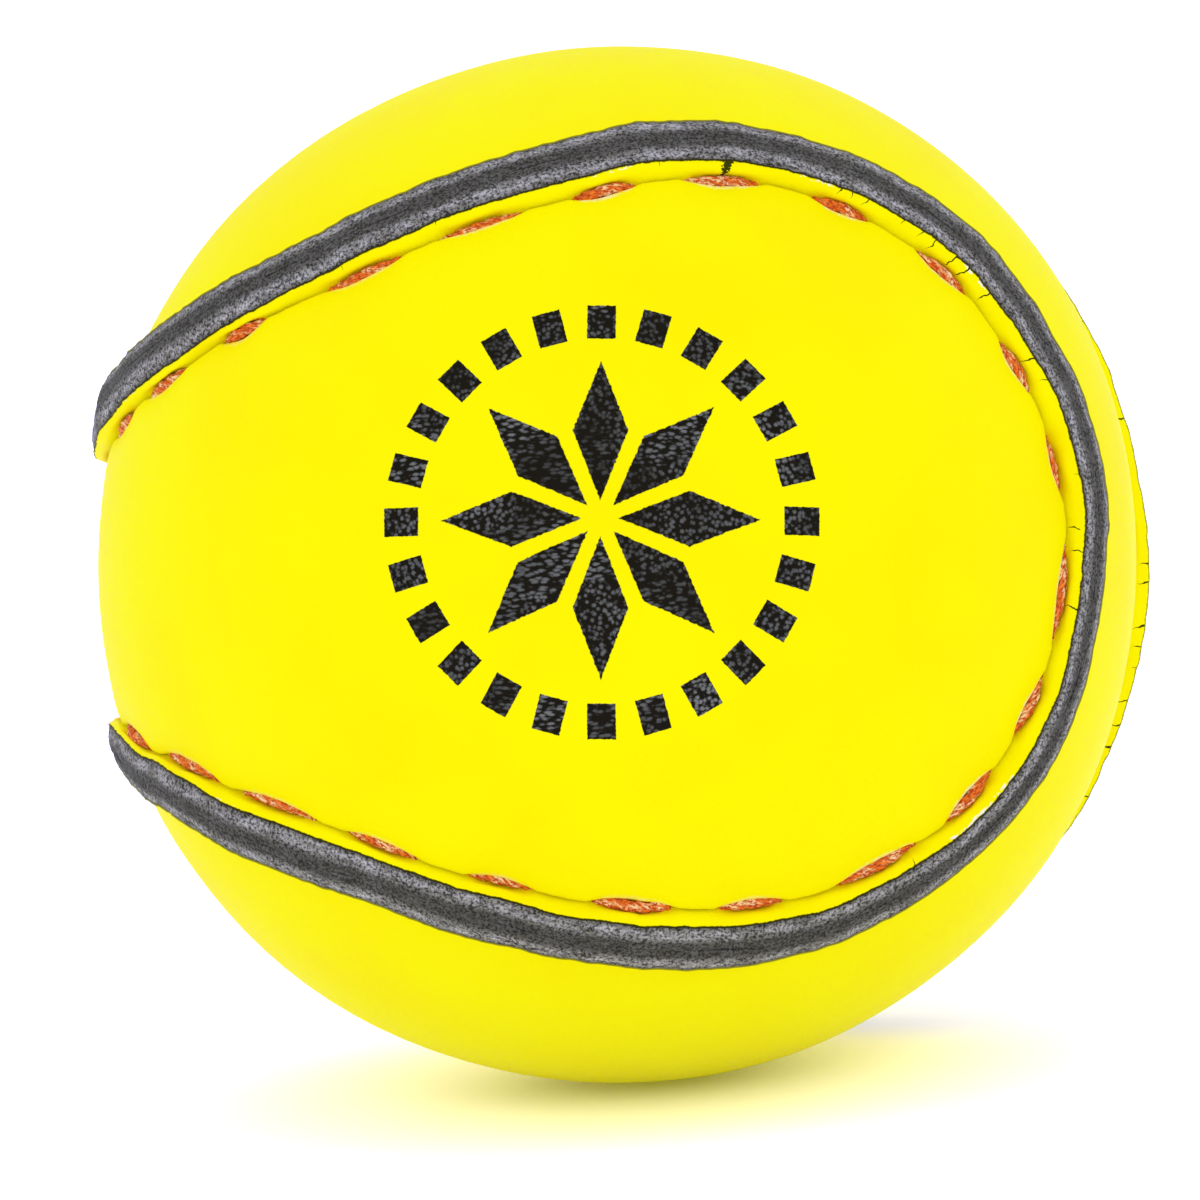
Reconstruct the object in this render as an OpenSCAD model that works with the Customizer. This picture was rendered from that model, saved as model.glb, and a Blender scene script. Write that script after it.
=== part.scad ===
// Sliotar: a hurling ball. A moulded core is covered by two figure-eight leather panels.
// Their edges are turned up and sewn flesh to flesh, so the seam stands proud as a rib.
// Frame: origin at the ball's centre, +Z up as the ball lies, front lobe towards -Y,
// the middle of the top panel's waist on +X.

/* [Ball] */
// Diameter over the smooth coating, ribs left out
ball_d = 70.5; // [60:0.5:80]
// Thickness of the leather
leather_t = 1.95; // [1.4:0.05:2.6]
// Thickness of the smooth coating laminated on the leather
coating_t = 0.12; // [0.08:0.01:0.3]
// Glue line between the coating and the leather
glue_t = 0.03; // [0.02:0.01:0.1]
// Room between the core and the flesh side of the leather
core_slack = 0.25; // [0.25:0.05:0.6]

/* [Seam] */
// How far the seam swings to each side of the ball's middle, in degrees
seam_reach = 69.4; // [66:0.1:74]
// How far the lobes bulge sideways past a plain wave, in degrees
seam_bulge = 26.1; // [18:0.1:30]
// How far the wave is broadened, so that the lobes' ends are evenly round, in degrees
seam_round = 2.4; // [0:0.1:4]
// Tilt of the whole seam about X, in degrees, front lobe up
lie_tilt = 11.4; // [0:0.1:30]

/* [Rib] */
// Height of the rib's cut edges above the round of the ball
rib_rise = 1.7; // [1.2:0.1:3]
// Depth of the groove that the tight thread pulls along the rib's foot
groove_depth = 0.5; // [0.2:0.05:0.8]
// Width over which the groove runs out into the round of the ball
groove_run = 3; // [1.5:0.1:5]
// Gap between the two flesh sides inside the rib
fold_gap = 0.06; // [0.04:0.02:0.2]
// Radius of the leather's bend on its flesh side, at the foot of the rib
bend_r = 1.6; // [0.8:0.1:2]

/* [Thread] */
// Diameter of the waxed sewing thread
thread_d = 1; // [0.6:0.05:1.3]
// Stitches that show along each side of the rib
stitch_count = 46; // [36:1:56]
// Distance of the first awl hole from the tip of the front lobe, along the seam
first_hole = 2.3; // [0:0.1:8]
// Room round the thread in its awl hole and in the groove
thread_clear = 0.1; // [0.09:0.01:0.2]
// How far each end of the thread stops from the middle of the first hole
thread_end = 0.3; // [0.1:0.05:1]

/* [Hidden] */

// Fineness of the panels: seam steps in each eighth, fan steps at a lobe's end, rows inwards
eighth_steps = 10;
fan_steps = 8;
inner_rows = 4;
// The spine of a panel ends this far from the middle of its waist, in degrees
spine_end = 112;
// Sides of the thread's section and steps of the seam's length table
thread_sides = 6;
table_steps = 1440;
// Lobe tip where the seam's length starts, and the step for its direction, in degrees
tip_turn = 45;
slope_step = 0.05;

seam_steps = 8 * eighth_steps;
spine_steps = seam_steps / 2 - 2 * fan_steps;
ball_r = ball_d / 2;
coating_inner_r = ball_r - coating_t;
grain_r = coating_inner_r - glue_t;
flesh_r = grain_r - leather_t;
core_r = flesh_r - core_slack;
rib_top = ball_r + rib_rise;
flesh_off = fold_gap / 2;
flank_off = flesh_off + leather_t;
// The thread lies in the hollow between the coated flank and the coated groove
seat_r = thread_d / 2 + thread_clear + coating_t + glue_t;
seat_off = flank_off + seat_r;
seat_h = foot_height(grain_r - groove_depth, seat_r, flank_off);
bend_h = foot_height(flesh_r, bend_r, flesh_off);
groove_off = seat_off + groove_run;
hole_count = 2 * stitch_count;
thread_turn = thread_d / 2 + thread_clear;

// Share of the seam's length at which an awl hole lies
function hole_share(k) = k / hole_count + first_hole / (seam_length * ball_r);

// Height of the centre of a fillet that touches a round of radius r and a wall at off
function foot_height(r, fillet, off) = sqrt(pow(r + fillet, 2) - pow(off + fillet, 2));
function unit(v) = v / norm(v);

// Direction of the seam at the angle t, on a ball whose waists face -X and +X
function seam_dir(t) =
    let (lat = seam_reach * sin(2 * t) + seam_round * (sin(2 * t) + sin(6 * t)),
         lon = 135 + t - seam_bulge * sin(4 * t))
    [sin(lat), cos(lat) * cos(lon), cos(lat) * sin(lon)];
function table_turn(i) = tip_turn + 360 * i / table_steps;
// Length along the seam against its angle, on a ball of radius 1
seam_table = [
    for (i = 0, s = 0; i <= table_steps;
         s = s + norm(seam_dir(table_turn(i + 1)) - seam_dir(table_turn(i))), i = i + 1)
    [s, table_turn(i)]
];
seam_length = seam_table[table_steps][0];
function turn_at(share) = lookup((share - floor(share)) * seam_length, seam_table);

// Frame at a share of the seam's length: outwards, along, and into the front panel
function seam_frame(share) =
    let (t = turn_at(share), out = seam_dir(t),
         along = unit(seam_dir(t + slope_step) - seam_dir(t - slope_step)))
    [out, along, unit(cross(along, out))];
function seam_point(share, off, height) =
    let (f = seam_frame(share)) height * f[0] + off * f[2];

// Points of a fillet about [off, height]: at the wall, halfway, and facing the ball's centre
function fillet_points(off, height, r) =
    let (down = unit([-off, -height]), wall = [-1, 0])
    [for (side = [wall, unit(wall + down), down]) [off, height] + r * side];

// Section of the grain side, raised by skin, from the rib's edge to past the groove
function grain_section(skin) = concat(
    [[flank_off + skin, rib_top]],
    fillet_points(seat_off, seat_h, seat_r - skin),
    [[groove_off, sqrt(pow(grain_r + skin, 2) - pow(groove_off, 2))]]);

// Section of the flesh side, from the rib's edge to the round of the core
function flesh_section() = concat(
    [[flesh_off, rib_top]],
    fillet_points(flesh_off + bend_r, bend_h, bend_r));

// Spine of the front panel: an arc through the middle of its waist
function spine_dir(j) =
    let (a = spine_end * (1 - 2 * j / spine_steps)) [-cos(a), -sin(a), 0];
function spine_step(i) =
    let (k = min(i % seam_steps, seam_steps - i % seam_steps))
    min(max(k - fan_steps, 0), spine_steps);

function last(list) = list[len(list) - 1];
function section_loop(place) =
    [for (i = [0 : seam_steps - 1]) seam_point(i / seam_steps, place[0], place[1])];
// Rows from the foot of the rib inwards to the spine, on the round of radius r
function round_loop(place, r, row) =
    let (share = row / (inner_rows + 1))
    [for (i = [0 : seam_steps - 1])
        r * unit(unit(seam_point(i / seam_steps, place[0], place[1])) * (1 - share)
                 + spine_dir(spine_step(i)) * share)];
function spine_points(r) = [for (j = [0 : spine_steps]) r * spine_dir(j)];

// Loops of a skin from the spine's side out to the rib's edge
function skin_loops(section, r) = concat(
    [for (row = [inner_rows : -1 : 1]) round_loop(last(section), r, row)],
    [for (k = [len(section) - 1 : -1 : 0]) section_loop(section[k])]);
function reversed(list) = [for (k = [len(list) - 1 : -1 : 0]) list[k]];

// One closed figure-eight sheet between an outer and an inner skin
module sheet(outer, outer_r, inner, inner_r) {
    loops = concat(skin_loops(outer, outer_r), reversed(skin_loops(inner, inner_r)));
    loop_count = len(loops);
    outer_spine = loop_count * seam_steps;
    inner_spine = outer_spine + spine_steps + 1;
    points = concat([for (loop = loops) each loop],
                    spine_points(outer_r), spine_points(inner_r));
    walls = [for (k = [0 : loop_count - 2], i = [0 : seam_steps - 1])
        let (n = (i + 1) % seam_steps, a = k * seam_steps, b = a + seam_steps)
        each [[a + i, b + i, b + n], [a + i, b + n, a + n]]];
    outer_fan = [for (i = [0 : seam_steps - 1])
        let (n = (i + 1) % seam_steps,
             p = outer_spine + spine_step(i), q = outer_spine + spine_step(n))
        each p == q ? [[p, i, n]] : [[p, i, n], [p, n, q]]];
    edge = (loop_count - 1) * seam_steps;
    inner_fan = [for (i = [0 : seam_steps - 1])
        let (n = (i + 1) % seam_steps,
             p = inner_spine + spine_step(i), q = inner_spine + spine_step(n))
        each p == q ? [[p, edge + n, edge + i]] : [[p, edge + n, edge + i], [p, q, edge + n]]];
    polyhedron(points, concat(walls, outer_fan, inner_fan), convexity = 6);
}

// Places a front panel's shape as the ball lies
module as_it_lies() {
    rotate([-lie_tilt, 0, 0]) children();
}

// Turns a front panel's shape into its partner, which fills the rest of the ball
module as_partner() {
    mirror([1, 0, 0]) rotate([90, 0, 0]) children();
}

// Awl holes through the rib, for the thread
module awl_holes() {
    for (k = [0 : hole_count - 1]) {
        f = seam_frame(hole_share(k));
        c = seat_h * f[0];
        multmatrix([[f[0][0], f[1][0], f[2][0], c[0]],
                    [f[0][1], f[1][1], f[2][1], c[1]],
                    [f[0][2], f[1][2], f[2][2], c[2]]])
            cylinder(h = 2 * seat_off, d = thread_d + 2 * thread_clear, center = true, $fn = 24);
    }
}

module leather_panel() {
    sheet(grain_section(0), grain_r, flesh_section(), flesh_r);
}

module coating_panel() {
    sheet(grain_section(glue_t + coating_t), ball_r, grain_section(glue_t), coating_inner_r);
}

module core() {
    color("gainsboro") sphere(r = core_r, $fn = 96);
}

module front_panel_leather() {
    color("dimgray") as_it_lies() difference() {
        leather_panel();
        awl_holes();
    }
}

module front_panel_coating() {
    color("yellow") as_it_lies() difference() {
        coating_panel();
        awl_holes();
    }
}

module top_panel_leather() {
    color("dimgray") as_it_lies() difference() {
        as_partner() leather_panel();
        awl_holes();
    }
}

module top_panel_coating() {
    color("yellow") as_it_lies() difference() {
        as_partner() coating_panel();
        awl_holes();
    }
}

// Running stitch: through each hole, then along one side of the rib to the next hole.
// Each place is a share of the seam's length and a distance from the middle of the rib.
function thread_places() =
    let (step = 1 / hole_count, turn = thread_turn / (seam_length * seat_h),
         mouth = seat_off - thread_turn)
    concat(
        [[hole_share(0), thread_end]],
        [for (k = [0 : hole_count - 1])
            let (at = hole_share(k), side = k % 2 == 0 ? 1 : -1)
            each [[at, side * mouth],
                  [at + turn, side * seat_off],
                  [at + step / 2, side * seat_off],
                  [at + step - turn, side * seat_off],
                  [at + step, side * mouth]]],
        [[hole_share(hole_count), -thread_end]]);

// One ring of the thread, square to its run
function thread_ring(before, here, after, out) =
    let (along = unit(after - before), up = unit(out - (out * along) * along),
         across = cross(along, up))
    [for (s = [0 : thread_sides - 1])
        let (a = 360 * s / thread_sides)
        here + thread_d / 2 * (cos(a) * up + sin(a) * across)];

module seam_thread() {
    places = thread_places();
    count = len(places);
    route = [for (p = places) seam_point(p[0], p[1], seat_h)];
    points = [for (k = [0 : count - 1])
        each thread_ring(route[max(k - 1, 0)], route[k], route[min(k + 1, count - 1)],
                         seam_frame(places[k][0])[0])];
    walls = [for (k = [0 : count - 2], s = [0 : thread_sides - 1])
        let (n = (s + 1) % thread_sides, a = k * thread_sides, b = a + thread_sides)
        each [[a + s, a + n, b + n], [a + s, b + n, b + s]]];
    tail = (count - 1) * thread_sides;
    ends = [for (s = [1 : thread_sides - 2])
        each [[0, s + 1, s], [tail, tail + s, tail + s + 1]]];
    color("orangered") as_it_lies()
        polyhedron(points, concat(walls, ends), convexity = 10);
}

core();
front_panel_leather();
front_panel_coating();
top_panel_leather();
top_panel_coating();
seam_thread();
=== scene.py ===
import math

import bmesh
import bpy
import numpy as np
from mathutils import Matrix, Vector


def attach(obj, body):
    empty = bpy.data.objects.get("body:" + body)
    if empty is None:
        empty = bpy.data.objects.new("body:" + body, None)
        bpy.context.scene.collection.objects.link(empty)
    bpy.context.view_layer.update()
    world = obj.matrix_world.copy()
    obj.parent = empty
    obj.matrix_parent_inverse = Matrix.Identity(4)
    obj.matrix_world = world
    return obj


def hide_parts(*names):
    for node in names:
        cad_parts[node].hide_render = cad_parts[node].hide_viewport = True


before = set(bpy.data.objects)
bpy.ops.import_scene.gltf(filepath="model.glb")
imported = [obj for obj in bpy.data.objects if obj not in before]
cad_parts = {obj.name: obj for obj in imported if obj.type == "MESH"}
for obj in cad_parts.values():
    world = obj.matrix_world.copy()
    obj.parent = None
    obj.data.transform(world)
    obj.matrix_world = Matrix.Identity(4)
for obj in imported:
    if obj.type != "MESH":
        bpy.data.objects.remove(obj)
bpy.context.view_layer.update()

# How the camera of the photograph was turned
VIEW_FORWARD = Vector((-0.1425, 0.9780, -0.1527)).normalized()
measured_right = Vector((0.9884, 0.1323, -0.0749))
VIEW_RIGHT = (measured_right - VIEW_FORWARD * measured_right.dot(VIEW_FORWARD)).normalized()
VIEW_UP = VIEW_RIGHT.cross(VIEW_FORWARD)

# Sizes of the ball in millimetres and degrees, as in the part's source
MM = 0.001
BALL_R = 35.25
LEATHER_T = 1.95
COATING_T = 0.12
GLUE_T = 0.03
SEAM_REACH = 69.4
SEAM_BULGE = 26.1
SEAM_ROUND = 2.4
TIP_TURN = 45
LIE_TILT = 11.4
RIB_RISE = 1.7
FOLD_HALF = 0.03
BEND_R = 1.6
SPINE_END = 112
FAN_SHARE = 0.2
HOLE_COUNT = 92
FIRST_HOLE = 2.3
GRAIN_R = BALL_R - COATING_T - GLUE_T
FLESH_R = GRAIN_R - LEATHER_T
# Start of the seam's longitude in degrees, and the step for its direction in radians
SEAM_START = 135
SLOPE_STEP = 1e-3

# Fineness of the sewn sheets and of the thread
STATIONS = 1104
TABLE_STEPS = 5760
KEY_STEPS = (3, 3, 3, 4, 4, 3, 3, 3, 3)
OUTER_OPEN_ROWS = 11
INNER_OPEN_ROWS = 4
EDGE_ROWS = 13
WALL_STEPS = 3
BEND_STEPS = 6
STITCH_POINTS = 26
THREAD_STEP = 0.26
PLY_SIDES = 7
MERGE_DISTANCE = 1e-7

# Where the rib's pull ends on the open lobe
FOOT_OFF = 2.6
OPEN_OFF = 7.5

# Stitches gather and spread three times round the seam, by this many mm
STITCH_SWING = 1.29
STITCH_PHASE = math.radians(-164.7)
STITCH_WAVES = 3
# How far each hole strays from that, in mm, and how much longer the front stitches are
HOLE_JITTER = 0.2
FRONT_STITCH_EXTRA = 1.0
# How hard a stitch pulls, how full its pull is along it, and how far that reaches past its holes
STITCH_STRENGTHS = (0.75, 1.1)
PULL_FULLNESS = 0.75
STITCH_OVERRUN = 0.03
# How far the awl holes seen in front lie from that rule, in mm along the seam, counted from this
# hole on; past both ends it fades out over so many holes
FIRST_NUDGED = -22
HOLE_NUDGES = (3.4, 3.0, 1.4, 1.2, 1.2, -0.6, 1.2, 1.2, 0.0, 0.8, 0.6, -0.6, -0.4, -0.4, -0.4, -0.4,
               0.0, 0.2, 0.6, -0.2, -0.8, 0.0, -0.8, 1.4, 0.2, 0.6, 0.0, 0.0, -1.2, 0.6, 0.6, 0.6,
               -0.8, -0.2, -0.2, -1.0, -1.4, -1.6, -3.4, -1.6, -3.8, -2.6, -3.6, -2.8)
NUDGE_FADE = 12

# How far the hand-sewn seam strays into the front panel, and how much wider half its rib is there,
# in mm, at even steps of its length
DRIFT_FIRST = -0.26
DRIFT_STEP = 0.02
SEAM_DRIFT = (2.1, 1.9, 0.5, -0.6, -0.36, 0.14, 0.29, 0.05, -0.17, -0.16, 0.27, 0.35, -0.06, -0.54,
              -0.35, 0.35, 0.45, 0.05, -0.16, -0.16, -0.27, -0.38, -0.15, 0.0, 0.7, 2.1, 2.3)
RIB_WIDENING = (-0.08, -0.11, -0.15, -0.16, -0.11, -0.04, 0.06, 0.17, 0.19, 0.15, 0.09, 0.06, -0.07,
                -0.25, -0.34, -0.35, -0.37, -0.22, 0.06, 0.16, 0.13, 0.02, -0.05, -0.08, -0.12, -0.13,
                -0.14)
DRIFT_END = 0.08
DRIFT_SMOOTHING = 41

# Half of the rib's width over the film at its edge, how far the flank is pinched in below that with
# and without a stitch's pull, and how much lower the worn rib and the film's edge are, in mm
HALF_WIDTH = 1.97
PINCH_IN = 0.16
PINCH_PULL = 0.26
RIB_WORN = 0.1
EDGE_DROP = 0.14

# Where the rib and its front edge are pressed lower: share of the seam, width as a share, and mm
RIB_DIPS = ((0.235, 0.03, 0.42),)
FRONT_EDGE_DIPS = ((-0.205, 0.045, 0.52), (0.21, 0.045, 0.3))

# Section of the film: its bulge under the edge, and the lip of the groove that the stitches open, in
# mm; section of the cut edge: the open fold, the crown beside it and the dip at it
BELLY_OUT = 0.05
LIP_OUT = 0.2
LIP_PULL = 0.76
FOLD_OPEN = 0.015
EDGE_CROWN = 0.03
FOLD_DIP = 0.04
# Turn of the leather's bend from the fold's wall to the round of the core, in degrees
BEND_TURN = (180, 267)

# Film marks for its shader: number of the section's key, rows back from it, and spread in rows
# The lip mark places paler film along the groove's lip, partly a painted highlight and partly strain
# whitening
LIP_MARK = (6, 0.3, 1.7)
# The crease mark places painted shade in the groove at the foot of the rib's flank
CREASE_SHADE_MARK = (4, 0.5, 2.2)
# Even step of the maps over the open leather, in mm, and the angles that stay sharp, in degrees
OPEN_ROW_RUN = 2.0
SHARP_FILM = 60
SHARP_LEATHER = 70

# How far the leather strays from the round where the camera sees its outline: waves in a turn, and
# mm along their cosine and sine
OUTLINE_WAVES = ((2, 0.035, -0.09), (3, -0.04, -0.035), (4, -0.145, 0.04))
# Soft unevenness all over: height in mm, number of waves and their lengths in mm
SWELL = 0.02
SWELL_WAVES = 9
SWELL_LENGTHS = (14, 40)


def unit(vectors):
    return vectors / np.linalg.norm(vectors, axis=-1, keepdims=True)


def eased(values, low, high):
    """0 below low, 1 above high, and a soft step in between."""
    share = np.clip((values - low) / (high - low), 0, 1)
    return share * share * (3 - 2 * share)


# The seam line
def seam_dir(turn):
    """Direction of the seam at an angle, on a ball whose waists face -X and +X."""
    broader = np.sin(2 * turn) + np.sin(6 * turn)
    lat = math.radians(SEAM_REACH) * np.sin(2 * turn) + math.radians(SEAM_ROUND) * broader
    lon = math.radians(SEAM_START) + turn - math.radians(SEAM_BULGE) * np.sin(4 * turn)
    return np.stack([np.sin(lat), np.cos(lat) * np.cos(lon), np.cos(lat) * np.sin(lon)], -1)


TABLE_TURNS = math.radians(TIP_TURN) + np.linspace(0, 2 * np.pi, TABLE_STEPS + 1)
table_runs = np.cumsum(np.linalg.norm(np.diff(seam_dir(TABLE_TURNS), axis=0), axis=1))
TABLE_RUNS = np.concatenate([[0], table_runs])
SEAM_MM = TABLE_RUNS[-1] * BALL_R
SHARE = np.arange(STATIONS) / STATIONS


def seam_frame(share):
    """Outward direction and the direction into the front panel, at shares of the seam's length."""
    turn = np.interp(share % 1, TABLE_RUNS / TABLE_RUNS[-1], TABLE_TURNS)
    out = seam_dir(turn)
    along = unit(seam_dir(turn + SLOPE_STEP) - seam_dir(turn - SLOPE_STEP))
    return out, unit(np.cross(along, out))


def waver(seed, slowest, fastest, size, waves=16):
    """Hand-made unevenness round the closed seam, with that root mean square size."""
    draw = np.random.default_rng(seed)
    turns = draw.integers(slowest, fastest + 1, waves)
    phases = draw.uniform(0, 2 * np.pi, waves)
    heights = draw.normal(0, 1, waves)
    wave = np.sin(2 * np.pi * np.outer(SHARE, turns) + phases) @ heights
    return size * wave / np.sqrt(np.mean(wave ** 2))


def at_share(values, share):
    """Values of the stations, read at any share of the seam's length."""
    return np.interp(share % 1, np.append(SHARE, 1), np.append(values, values[0]))


# Awl holes and what the stitches pull
hole_draw = np.random.default_rng(11)
even_holes = np.arange(HOLE_COUNT) / HOLE_COUNT + FIRST_HOLE / SEAM_MM
swing = STITCH_SWING * np.sin(2 * np.pi * STITCH_WAVES * even_holes + STITCH_PHASE)
longer = FRONT_STITCH_EXTRA / 2 * np.where(np.arange(HOLE_COUNT) % 2 == 0, -1, 1)
last_nudged = FIRST_NUDGED + len(HOLE_NUDGES) - 1
nudged = [FIRST_NUDGED - NUDGE_FADE, *range(FIRST_NUDGED, last_nudged + 1), last_nudged + NUDGE_FADE]
hole_number = (np.arange(HOLE_COUNT) + HOLE_COUNT // 2) % HOLE_COUNT - HOLE_COUNT // 2
nudge = np.interp(hole_number, nudged, [0, *HOLE_NUDGES, 0])
jitter = hole_draw.normal(0, HOLE_JITTER, HOLE_COUNT)
holes = even_holes + (swing + longer + jitter + nudge) / SEAM_MM
HOLES = np.append(holes, holes[0] + 1)
STITCH_STRENGTH = hole_draw.uniform(*STITCH_STRENGTHS, HOLE_COUNT)


def stitch_pull(side):
    """How hard a stitch opens the crease at each station, on one side of the rib."""
    pull = np.zeros(STATIONS)
    for k in range(0 if side > 0 else 1, HOLE_COUNT, 2):
        length = HOLES[k + 1] - HOLES[k]
        first = HOLES[k] - STITCH_OVERRUN * length
        along = ((SHARE - first) % 1) / (length * (1 + 2 * STITCH_OVERRUN))
        inside = along < 1
        pull[inside] = STITCH_STRENGTH[k] * np.sin(np.pi * along[inside]) ** PULL_FULLNESS
    return pull


def from_place(share):
    """Shares of the seam's length, counted to both sides of its start."""
    return (share + 0.5) % 1 - 0.5


def round_the_front(measured, rest):
    """Values along the seam: those measured round the front lobe, others on the rest, smoothed."""
    knots = DRIFT_FIRST + DRIFT_STEP * np.arange(len(measured))
    centred = from_place(SHARE)
    seen = 1 - eased(np.abs(centred), -DRIFT_FIRST, DRIFT_END - DRIFT_FIRST)
    stray = np.interp(centred, knots, measured) * seen + rest * (1 - seen)
    window = np.hanning(DRIFT_SMOOTHING + 2)[1:-1]
    window /= window.sum()
    smooth = np.zeros(STATIONS)
    for step, weight in enumerate(window):
        smooth += weight * np.roll(stray, step - DRIFT_SMOOTHING // 2)
    return smooth


def dips(spots):
    """Soft hollows along the seam."""
    hollows = np.zeros(STATIONS)
    for at, width, depth in spots:
        hollows += depth * np.exp(-(from_place(SHARE - at) / width) ** 2)
    return hollows


SEAM_SHIFT = round_the_front(SEAM_DRIFT, waver(21, 3, 14, 0.2)) + waver(22, 18, 46, 0.05)
RIB_WIDER = round_the_front(RIB_WIDENING, waver(27, 3, 14, 0.12))
RIB_LEAN = waver(23, 2, 20, 0.1)
RIB_HEIGHT = RIB_RISE - RIB_WORN - dips(RIB_DIPS) + waver(24, 4, 24, 0.08) + waver(25, 40, 90, 0.03)
FRONT, TOP = 1, -1
EDGE_HEIGHT = {
    FRONT: RIB_HEIGHT - EDGE_DROP - dips(FRONT_EDGE_DIPS),
    TOP: RIB_HEIGHT - EDGE_DROP,
}
HALF_RIB = {
    side: HALF_WIDTH + RIB_WIDER + waver(30 + side, 8, 40, 0.06)
    + waver(33 + side, 60, 150, 0.025) + waver(36 + side, 180, 420, 0.012)
    for side in (FRONT, TOP)
}
PULL = {side: stitch_pull(side) for side in (FRONT, TOP)}
PINCH = {side: HALF_RIB[side] - PINCH_IN - PINCH_PULL * PULL[side] for side in (FRONT, TOP)}
EDGE_JAG = {side: waver(40 + side, 150, 450, 0.02) for side in (FRONT, TOP)}


# Sections across the seam
def smooth_rows(keys, steps):
    """Rows on a smooth curve through the keys, with that many steps from key to key."""
    before_first = 2 * keys[0] - keys[1]
    after_last = 2 * keys[-1] - keys[-2]
    points = np.concatenate([[before_first], keys, [after_last]])
    rows = []
    for j, count in enumerate(steps):
        a, b, c, d = points[j:j + 4]
        for t in np.arange(count) / count:
            curve = 2 * b + (c - a) * t + (2 * a - 5 * b + 4 * c - d) * t ** 2
            rows.append((curve + (3 * b - a - 3 * c + d) * t ** 3) / 2)
    rows.append(keys[-1])
    return np.array(rows)


def coating_section(side):
    """Offsets from the rib's middle and heights of the coating's face, from the cut edge outwards."""
    half, pinch, pull = HALF_RIB[side], PINCH[side], PULL[side]
    edge = EDGE_HEIGHT[side] + EDGE_JAG[side]
    lip = pinch + LIP_OUT + LIP_PULL * pull
    belly = half + BELLY_OUT + waver(45 + side, 30, 90, 0.04)
    nothing = np.zeros(STATIONS)
    # Offset from the rib's middle and rise over the round, in mm, at each key of the section
    keys = np.array([
        [half, edge],
        [half + 0.03, 0.77 * edge],
        [belly, 0.42 * edge],
        [pinch, nothing - 0.15],
        [pinch + 0.06, -0.55 - 0.25 * pull],
        [lip - 0.08 - 0.16 * pull, -0.3 - 0.14 * pull],
        [lip + 0.12, -0.02 - 0.14 * pull],
        [lip + 0.9, 0.05 - 0.1 * pull],
        [lip + 2.6, nothing + 0.04],
        [nothing + OPEN_OFF, nothing],
    ])
    rows = smooth_rows(keys, KEY_STEPS)
    off, rise = rows[:, 0], rows[:, 1]
    return off, np.sqrt(BALL_R ** 2 - off ** 2) + rise


def sunk(off, height, depth):
    """The same section, moved into the leather by a depth."""
    run_off = np.gradient(off, axis=0)
    run_height = np.gradient(height, axis=0)
    length = np.hypot(run_off, run_height)
    return off + depth * run_height / length, height - depth * run_off / length


def cut_edge_section(side, grain_off, grain_height):
    """The leather's cut edge, from its grain side to the fold in the middle of the rib."""
    share = np.linspace(0, 1, EDGE_ROWS + 2)[1:, None]
    fold = FOLD_OPEN + waver(50 + side, 20, 140, 0.004)
    off = grain_off + (fold - grain_off) * share
    dome = (BALL_R + RIB_HEIGHT - grain_height) * share * (2 - share)
    crown = (EDGE_CROWN + waver(53 + side, 10, 60, 0.03)) * 4 * share * (1 - share)
    dip = (FOLD_DIP + waver(56 + side, 12, 80, 0.03)) * share ** 2
    fibres = np.stack([waver(100 + 20 * (side + 1) + row, 250, 520, 0.022, 30)
                       for row in range(EDGE_ROWS + 1)])
    return off, grain_height + dome + crown - dip + fibres * np.sin(np.pi * np.clip(share, 0, 0.97))


def flesh_section(top_off, top_height):
    """The leather's flesh side, from the fold's top down to the round of the core."""
    bend_height = math.sqrt((FLESH_R + BEND_R) ** 2 - (FOLD_HALF + BEND_R) ** 2)
    wall = np.linspace(0, 1, WALL_STEPS + 1)[1:-1, None]
    wall_off = top_off + (FOLD_HALF - top_off) * wall
    wall_height = top_height + (bend_height - top_height) * wall
    quarter = np.radians(np.linspace(*BEND_TURN, BEND_STEPS + 1))[:, None]
    full = np.ones((1, STATIONS))
    bend_off = FOLD_HALF + BEND_R * (1 + np.cos(quarter)) * full
    bend_up = bend_height + BEND_R * np.sin(quarter) * full
    return np.concatenate([wall_off, bend_off]), np.concatenate([wall_height, bend_up])


def laid_on_seam(side, off, height):
    """Points of a section's rows round the whole seam, on the ball before it is tilted."""
    out, inward = seam_frame(SHARE)
    rise = height - np.sqrt(BALL_R ** 2 - off ** 2)
    shift = SEAM_SHIFT * (1 - eased(off, FOOT_OFF, OPEN_OFF))
    placed = side * off + shift
    height = np.sqrt(BALL_R ** 2 - placed ** 2) + rise
    across = placed + RIB_LEAN * np.clip(rise / RIB_RISE, 0, 1)
    return height[..., None] * out + across[..., None] * inward


def panel_spine(side):
    """The line inside a panel that its rows run to, one point for each station."""
    share = SHARE if side == FRONT else (SHARE - 0.25) % 1
    reach = 2 * np.minimum(share, 1 - share)
    way = np.clip((reach - FAN_SHARE) / (1 - 2 * FAN_SHARE), 0, 1)
    angle = math.radians(SPINE_END) * (1 - 2 * way)
    x, y, z = -np.cos(angle), -np.sin(angle), np.zeros(STATIONS)
    return np.stack([x, y, z] if side == FRONT else [-x, -z, y], -1)


def open_rows(side, ring, radius, count):
    """Rows over the open leather, from a ring near the seam to the panel's spine."""
    start, spine = unit(ring), panel_spine(side)
    shares = np.linspace(0, 1, count + 2)[1:]
    return np.stack([radius * unit(start * (1 - share) + spine * share) for share in shares])


def outline_stray(points):
    """Stray of the leather that the camera sees at the ball's outline, fading to the front."""
    right, up = points @ np.array(VIEW_RIGHT), points @ np.array(VIEW_UP)
    turn = np.arctan2(-up, right)
    waves = np.zeros(turn.shape)
    for count, even, odd in OUTLINE_WAVES:
        waves += even * np.cos(count * turn) + odd * np.sin(count * turn)
    return waves * (right ** 2 + up ** 2) / np.sum(points ** 2, -1)


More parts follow.
